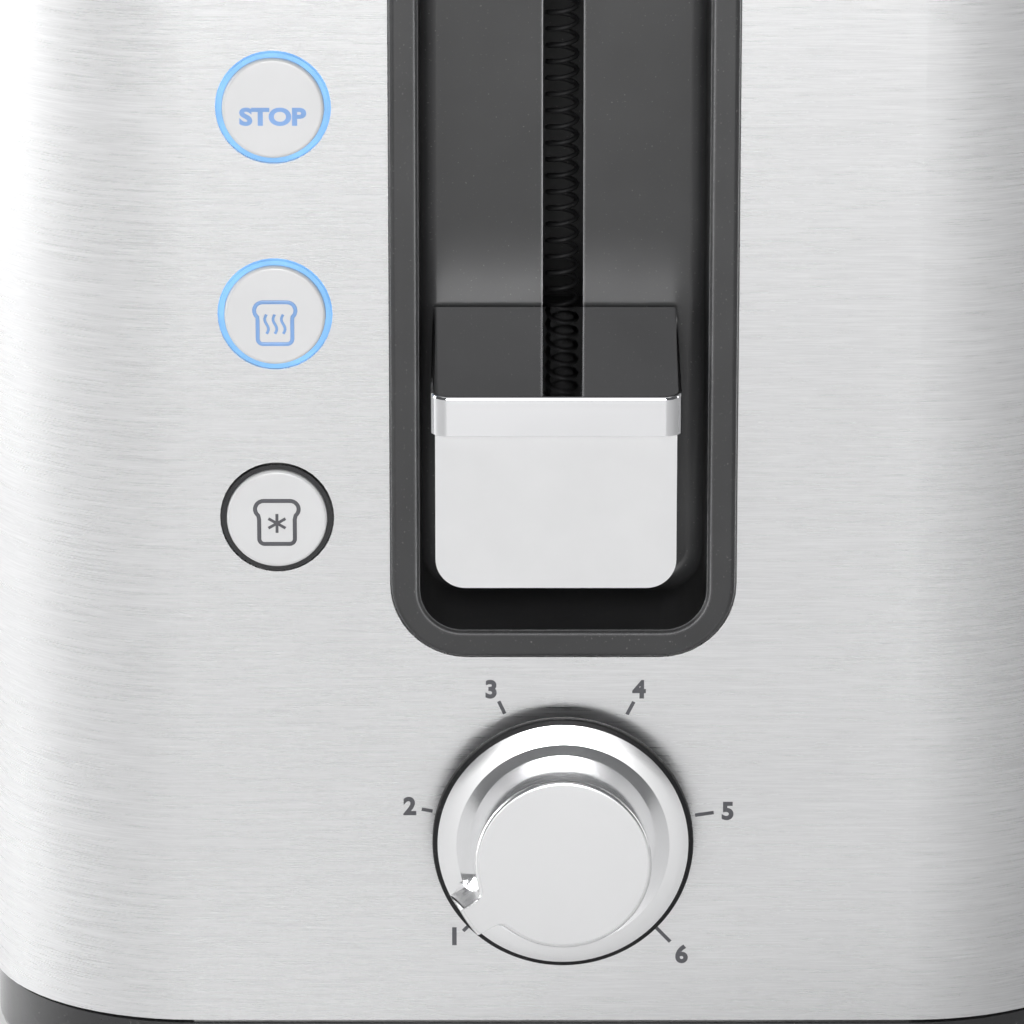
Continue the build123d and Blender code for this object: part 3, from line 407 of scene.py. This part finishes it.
# Near-black edge of the dial's rim: painted shade standing for the dark gap round the flange.
dial_edge_painted_shade = general_finish("Dial Edge Painted Shade", (0.008, 0.008, 0.009), 0.4, grain=1500.0, bump=0.03,
                                  edge_wear_and_highlight=0.0, specular=0.25)
# Near-black spring wire: painted shade, so the spring seen through the slot stays dark.
spring_painted_shade = general_finish("Spring Wire Painted Shade", (0.012, 0.012, 0.013), 0.55, metal=0.3, grain=1500.0,
                               mottle=0.2, edge_wear_and_highlight=0.1)
# Near-black steel: painted shade on the lift's inner parts, so the lever slot stays dark.
painted_shade_steel = general_finish("Steel Painted Shade", (0.020, 0.020, 0.021), 0.5, metal=0.4, grain=1200.0,
                                 bump=0.2, mottle=0.2, edge_wear_and_highlight=0.3, wear_and_highlight_colour=(0.2, 0.2, 0.2))
# The carriage, chassis, rod and screw get the near-black painted-shade finish in place of their sheet
# finish.
own_finish = {"top_cover": top_finish, "carriage": painted_shade_steel, "front_chassis": painted_shade_steel,
              "guide_rod": painted_shade_steel, "lever_screw": painted_shade_steel}

for part in frame["record"]["subparts"]:
    node = nodes[part["node"]]
    finish = own_finish.get(part["node"], finishes[part["material_slot"]])
    if not node.material_slots:
        node.data.materials.append(finish)
    for slot in node.material_slots:
        slot.material = finish


# ---------------------------------------------------------------- mesh helpers
def add_mesh(name, mesh, body, finish, smooth=True):
    """Puts a mesh in the scene, riding on a body, with its finish."""
    made = bpy.data.objects.new(name, mesh)
    bpy.context.scene.collection.objects.link(made)
    if smooth:
        for face in mesh.polygons:
            face.use_smooth = True
    if len(mesh.materials):
        mesh.materials.clear()
    mesh.materials.append(finish)
    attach(made, body)
    return made


def to_face(x, z, out):
    """Turns a flat drawing in X and Y into one on the front, facing forward, standing out a little."""
    return Matrix.Translation((x, FACE_Y - out, z)) @ Matrix.Rotation(math.radians(90), 4, "X")


def join_meshes(name, parts):
    """One mesh from several."""
    joined = bmesh.new()
    for part in parts:
        joined.from_mesh(part)
        bpy.data.meshes.remove(part)
    mesh = bpy.data.meshes.new(name)
    joined.to_mesh(mesh)
    joined.free()
    return mesh


CAPITAL_SHARE = 0.729       # height of a capital as a share of the font's size


def curve_mesh(curve):
    """The mesh of a curve or of text, which is taken out of the scene again."""
    made = bpy.data.objects.new("curve", curve)
    bpy.context.scene.collection.objects.link(made)
    bpy.context.view_layer.update()
    mesh = bpy.data.meshes.new_from_object(made.evaluated_get(bpy.context.evaluated_depsgraph_get()))
    bpy.data.objects.remove(made)
    return mesh


def wire_curve(points, width, closed=False):
    """A round wire of the given width through points."""
    curve = bpy.data.curves.new("wire", "CURVE")
    curve.dimensions = "3D"
    spline = curve.splines.new("POLY")
    spline.points.add(len(points) - 1)
    for place, point in zip(spline.points, points):
        place.co = (*point, 1)
    spline.use_cyclic_u = closed
    curve.bevel_depth = width / 2
    curve.bevel_resolution = 2
    return curve


def printed_text(words, height, bold):
    """A word or digit as a flat mesh, centred, with its capitals of the given height."""
    curve = bpy.data.curves.new("word", "FONT")
    curve.body = words
    curve.align_x = "CENTER"
    curve.align_y = "CENTER"
    curve.size = height / CAPITAL_SHARE
    curve.offset = bold
    curve.extrude = 0.00002
    curve.resolution_u = 6
    mesh = curve_mesh(curve)
    lows = Vector([min(v.co[i] for v in mesh.vertices) for i in range(3)])
    highs = Vector([max(v.co[i] for v in mesh.vertices) for i in range(3)])
    mesh.transform(Matrix.Translation(-(lows + highs) / 2))
    return mesh


def drawn_line(points, width, closed=False):
    """A flat line of even width through points in X and Y."""
    mesh = curve_mesh(wire_curve([(x, y, 0) for x, y in points], width, closed))
    mesh.transform(Matrix.Diagonal((1, 1, 0.12, 1)))
    return mesh


def arc(cx, cy, radius, start, end, steps):
    """Points along part of a circle, between two angles in degrees."""
    turns = [math.radians(start + (end - start) * i / steps) for i in range(steps + 1)]
    return [(cx + radius * math.cos(turn), cy + radius * math.sin(turn)) for turn in turns]


# ---------------------------------------------------------------- dial knob
POINTER = math.radians(-123.5)
POINTER_HALF = 2.35         # half the width of the pointer ridge, in millimetres
CAP_EDGE = 12.9
CAP_RADIUS = 13.4
REACH = (FACE_Y - knob_lo.y) / MM
RIM_RADIUS = (knob_hi.x - knob_lo.x) / 2 / MM
GAP = (FACE_Y - knob_hi.y) / MM
FOOT_RADIUS = 14.2          # where the cap's side meets the dished rim
CREST_RADIUS = 16.4         # highest ring of the rim
TIP_RADIUS = 17.4
FLARE = 1.6                 # how softly the pointer runs into the round cap
CREST, FOOT, LIP = 2.9, 1.9, 2.2   # how far the crest, foot and outer lip stand out from the rim's back
EDGE = 0.6                  # bevel of the rim
RECESS_RADIUS, RECESS_DEPTH = 11.5, 7
BOSS_RADIUS = 5.5
BORE_RADIUS, BORE_DEPTH = 3.05, 9


def cap_outline(turn):
    """Radius of the cap's edge: round, and drawn out to the rim along the pointer."""
    off = abs((turn - POINTER + math.pi) % (2 * math.pi) - math.pi)
    ridge = TIP_RADIUS if off < 0.01 else min(TIP_RADIUS, POINTER_HALF / math.sin(min(off, 1.5)))
    return min(TIP_RADIUS, FLARE * math.log(math.exp(CAP_RADIUS / FLARE) + math.exp(ridge / FLARE)))


def rim_front(radius):
    """How far the dished rim stands out at a radius."""
    if radius < CREST_RADIUS:
        return GAP + FOOT + (CREST - FOOT) * (radius - FOOT_RADIUS) / (CREST_RADIUS - FOOT_RADIUS)
    return GAP + CREST - (CREST - LIP) * (radius - CREST_RADIUS) / (RIM_RADIUS - EDGE - CREST_RADIUS)


def knob_section(turn):
    """Radius, reach and finish of each ring of the knob at one angle, from the cap's middle to the bore."""
    edge = cap_outline(turn)
    flat_end = RIM_RADIUS - 0.8
    foot = min(flat_end - 0.02, edge + FOOT_RADIUS - CAP_RADIUS + 0.25 * (edge - CAP_RADIUS))
    bevel = CAP_RADIUS - CAP_EDGE
    rings = [(share * (edge - bevel), REACH, 0) for share in (0.0, 0.3, 0.6, 0.85, 0.985, 1.0)]
    rings += [(edge - bevel * (1 - math.sin(a)), REACH - bevel * (1 - math.cos(a)), 2)
              for a in (0.5, 1.0, 1.5)]
    top, low = REACH - bevel, rim_front(foot)
    rings += [(edge + (foot - edge) * share, top + (low - top) * share, 1)
              for share in (0.04, 0.5, 0.97, 1.0)]
    rim_rings = [foot + (flat_end - foot) * share for share in (0.15, 0.3, 0.42, 0.7, 1.0)]
    rings += [(radius, rim_front(radius), 2) for radius in rim_rings]
    # The outer rings and back edge of the rim take the near-black finish: painted shade for the gap round
    # the flange.
    rings += [(RIM_RADIUS - 0.12, GAP + 1.95, 3), (RIM_RADIUS, GAP + 1.6, 3),
              (RIM_RADIUS, GAP + EDGE, 3), (RIM_RADIUS - EDGE, GAP, 3),
              (RECESS_RADIUS, GAP, 2), (RECESS_RADIUS, GAP + RECESS_DEPTH, 2),
              (BOSS_RADIUS, GAP + RECESS_DEPTH, 2), (BOSS_RADIUS, GAP, 2), (BORE_RADIUS, GAP, 2),
              (BORE_RADIUS, GAP + BORE_DEPTH, 2), (0.0, GAP + BORE_DEPTH, 2)]
    return rings


def knob_turns():
    """Angles of the knob's sections, close together beside the pointer where its edges run."""
    half = [i * 1.5 for i in range(4)] + [5.5 + i * 0.3 for i in range(35)] + [16 + i * 2 for i in range(82)]
    offsets = sorted(set(half) | {-a for a in half} | {180.0})
    return [POINTER + math.radians(a) for a in offsets]


def turn_knob():
    """The knob as one closed mesh, turned about its axis, with the pointer drawn out of the cap."""
    made = bmesh.new()
    turns = knob_turns()
    steps = len(turns)
    sections = [knob_section(turn) for turn in turns]
    rows = []
    for turn, section in zip(turns, sections):
        rows.append([made.verts.new((KNOB.x + r * math.sin(turn) * MM, FACE_Y - out * MM,
                                     KNOB.z + r * math.cos(turn) * MM)) for r, out, kind in section])
    for i in range(steps):
        here, there = rows[i], rows[(i + 1) % steps]
        for j in range(len(here) - 1):
            face = made.faces.new((here[j], here[j + 1], there[j + 1], there[j]))
            face.material_index = sections[i][j + 1][2]
    bmesh.ops.remove_doubles(made, verts=made.verts, dist=0.000002)
    bmesh.ops.recalc_face_normals(made, faces=made.faces)
    mesh = bpy.data.meshes.new("dial_knob_turned")
    made.to_mesh(mesh)
    made.free()
    knob = add_mesh("dial_knob_turned", mesh, "dial", dial_cap_finish)
    mesh.materials.append(dial_side_finish)
    mesh.materials.append(dial_rim_finish)
    mesh.materials.append(dial_edge_painted_shade)
    mesh.set_sharp_from_angle(angle=math.radians(32))
    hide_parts("dial_knob")


turn_knob()


# ---------------------------------------------------------------- lift spring
def coil_spring():
    """The lift spring as wound wire with closed end turns, fixed to the housing."""
    low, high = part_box("lift_spring")
    radius = (high.x - low.x) / 2 - 0.5 * MM
    x, y = (low.x + high.x) / 2, (low.y + high.y) / 2
    wire, turns, closed = 0.4 * MM, 46, 1.8
    length = high.z - low.z - 2 * wire
    points = []
    for i in range(turns * 12 + 1):
        turn = i / 12
        open_turn = min(max(turn - closed, 0.0), turns - 2 * closed)
        end_rise = (min(turn, closed) + max(0.0, turn - (turns - closed))) * 2 * wire
        rise = end_rise + open_turn * (length - 4 * closed * wire) / (turns - 2 * closed)
        angle = 2 * math.pi * turn
        points.append((x + radius * math.cos(angle), y + radius * math.sin(angle), low.z + wire + rise))
    curve = wire_curve(points, 2 * wire)
    curve.use_fill_caps = True
    spring = add_mesh("lift_spring_wire", curve_mesh(curve), "housing", spring_painted_shade)
    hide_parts("lift_spring")
    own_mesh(spring)


coil_spring()


# ---------------------------------------------------------------- dial scale
TICK_WIDTH = 0.55
# angle of each tick from upright, its middle and its length; then across and up to its digit
SCALE_MARKS = ((-135.9, 21.3, 1.5, -16.7, -16.7), (-79.3, 21.2, 1.7, -23.5, 4.6),
               (-24.5, 22.6, 2.2, -11.0, 23.5), (26.7, 22.9, 2.3, 11.6, 23.5),
               (81.3, 22.0, 2.9, 25.3, 3.8), (136.6, 22.4, 3.6, 18.4, -19.6))
BOLD = 0.00016              # how much the letters are thickened
INK_OUT = 0.00002           # how far printed marks stand out from their surface


def print_dial_scale():
    """Ticks round the dial and the digits 1 to 6 beside them."""
    marks = []
    for number, (degrees, middle, length, digit_x, digit_z) in enumerate(SCALE_MARKS):
        angle = math.radians(degrees)
        tick = bmesh.new()
        bmesh.ops.create_cube(tick, size=1.0)
        mesh = bpy.data.meshes.new("tick")
        tick.to_mesh(mesh)
        tick.free()
        mesh.transform(Matrix.Translation((math.sin(angle) * middle * MM, math.cos(angle) * middle * MM, 0))
                       @ Matrix.Rotation(-angle, 4, "Z")
                       @ Matrix.Diagonal((TICK_WIDTH * MM, length * MM, 0.04 * MM, 1)))
        marks.append(mesh)
        digit = printed_text(str(number + 1), 2.8 * MM, BOLD)
        digit.transform(Matrix.Translation((digit_x * MM, digit_z * MM, 0)))
        marks.append(digit)
    mesh = join_meshes("dial_scale", marks)
    mesh.transform(to_face(KNOB.x, KNOB.z, INK_OUT))
    add_mesh("dial_scale", mesh, "housing", ink, smooth=False)


print_dial_scale()


# ---------------------------------------------------------------- marks on the buttons
def bread_outline(width, height, crown):
    """Closed outline of a slice: a wide crown over a narrower body with round corners."""
    body, top = width / 2, crown / 2
    points = arc(-body + 0.8, -height / 2 + 0.8, 0.8, 180, 270, 6)
    points += arc(body - 0.8, -height / 2 + 0.8, 0.8, 270, 360, 6)
    points += [(body, height / 2 - 3.0)]
    points += arc(top - 1.3, height / 2 - 1.4, 1.3, -50, 90, 10)
    points += arc(-top + 1.3, height / 2 - 1.4, 1.3, 90, 230, 10)
    points += [(-body, height / 2 - 3.0)]
    return [(x * MM, y * MM) for x, y in points]


def button_mark(name, parts, button, finish, drop):
    """A printed mark on a button's face, a little below its middle."""
    lo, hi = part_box(button)
    mesh = join_meshes(name, parts)
    on_cap = to_face((lo.x + hi.x) / 2, (lo.z + hi.z) / 2 - drop, INK_OUT)
    mesh.transform(Matrix.Translation((0, lo.y - FACE_Y, 0)) @ on_cap)
    add_mesh(name, mesh, button.split("_")[0], finish, smooth=False)


def mark_buttons():
    """The word, the heat mark and the star mark on the three buttons."""
    word = printed_text("STOP", 2.6 * MM, BOLD)
    word.transform(Matrix.Diagonal((1.15, 1.0, 1.0, 1.0)))
    button_mark("stop_word", [word], "stop_button", blue_ink, 0.0012)
    steam = []
    for x in (-1.25, 0.0, 1.25):
        steam.append(drawn_line([((x + 0.28 * math.sin(i * math.pi / 5)) * MM, (-1.7 + 0.3 * i) * MM)
                                 for i in range(11)], 0.42 * MM))
    button_mark("reheat_mark", [drawn_line(bread_outline(5.2, 6.6, 6.2), 0.6 * MM, True), *steam],
                "reheat_button", blue_ink, 0.0011)
    star = []
    for turn in (0, 60, 120):
        a = math.radians(turn + 90)
        star.append(drawn_line([(-1.5 * math.cos(a) * MM, (-1.5 * math.sin(a) - 0.2) * MM),
                                (1.5 * math.cos(a) * MM, (1.5 * math.sin(a) - 0.2) * MM)], 0.45 * MM))
    button_mark("defrost_mark", [drawn_line(bread_outline(5.4, 6.9, 6.6), 0.62 * MM, True), *star],
                "defrost_button", ink, 0.0005)


mark_buttons()


# ---------------------------------------------------------------- floor, lights, camera
def lay_floor():
    """The studio floor."""
    floor = bmesh.new()
    bmesh.ops.create_grid(floor, x_segments=8, y_segments=8, size=9.0)
    mesh = bpy.data.meshes.new("studio_floor")
    floor.to_mesh(mesh)
    floor.free()
    made = bpy.data.objects.new("studio_floor", mesh)
    bpy.context.scene.collection.objects.link(made)
    mesh.materials.append(general_finish("Pale Floor", (0.80, 0.80, 0.80), 0.6, grain=40.0, bump=0.02,
                                         mottle=0.01, edge_wear_and_highlight=0.0, smudge=0.02))


def hang_light(name, place, target, width, height, power):
    """A soft light panel that faces its target."""
    data = bpy.data.lights.new(name, "AREA")
    data.shape = "RECTANGLE"
    data.size = width
    data.size_y = height
    data.energy = power
    made = bpy.data.objects.new(name, data)
    made.location = place
    made.rotation_euler = (Vector(target) - Vector(place)).to_track_quat("-Z", "Y").to_euler()
    made.visible_camera = False
    bpy.context.scene.collection.objects.link(made)


def set_studio():
    """Floor, five soft lights and a dim even surround."""
    lay_floor()
    middle = (0, 0, 0.1)
    hang_light("front strip", (-0.05, -2.6, 0.4), middle, 0.36, 2.0, 56)
    hang_light("left bank", (-2.3, 0.65, 0.5), middle, 2.0, 2.2, 150)
    hang_light("right bank", (2.4, 0.5, 0.5), middle, 1.4, 2.0, 20)
    hang_light("overhead", (0.0, -0.1, 2.4), middle, 1.8, 1.8, 6)
    hang_light("back bank", (0.3, 2.6, 1.1), middle, 2.0, 1.6, 12)
    world = bpy.data.worlds.new("studio")
    bpy.context.scene.world = world
    world.use_nodes = True
    background = world.node_tree.nodes["Background"]
    background.inputs["Color"].default_value = (0.95, 0.97, 1.0, 1)
    background.inputs["Strength"].default_value = 0.12
    bpy.context.scene.view_settings.view_transform = "Standard"


def set_camera():
    """A long lens close to the control end, looking down a little."""
    data = bpy.data.cameras.new("camera")
    data.lens = 243.6
    data.sensor_width = 36.0
    data.clip_end = 100.0
    made = bpy.data.objects.new("camera", data)
    elevation = math.radians(17.0)
    distance = 1.05
    aim_x, aim_z = -0.0062, 0.0963
    made.location = (aim_x, FACE_Y - distance * math.cos(elevation), aim_z + distance * math.sin(elevation))
    made.rotation_euler = (math.radians(90) - elevation, 0, 0)
    bpy.context.scene.collection.objects.link(made)
    bpy.context.scene.camera = made


set_studio()
set_camera()
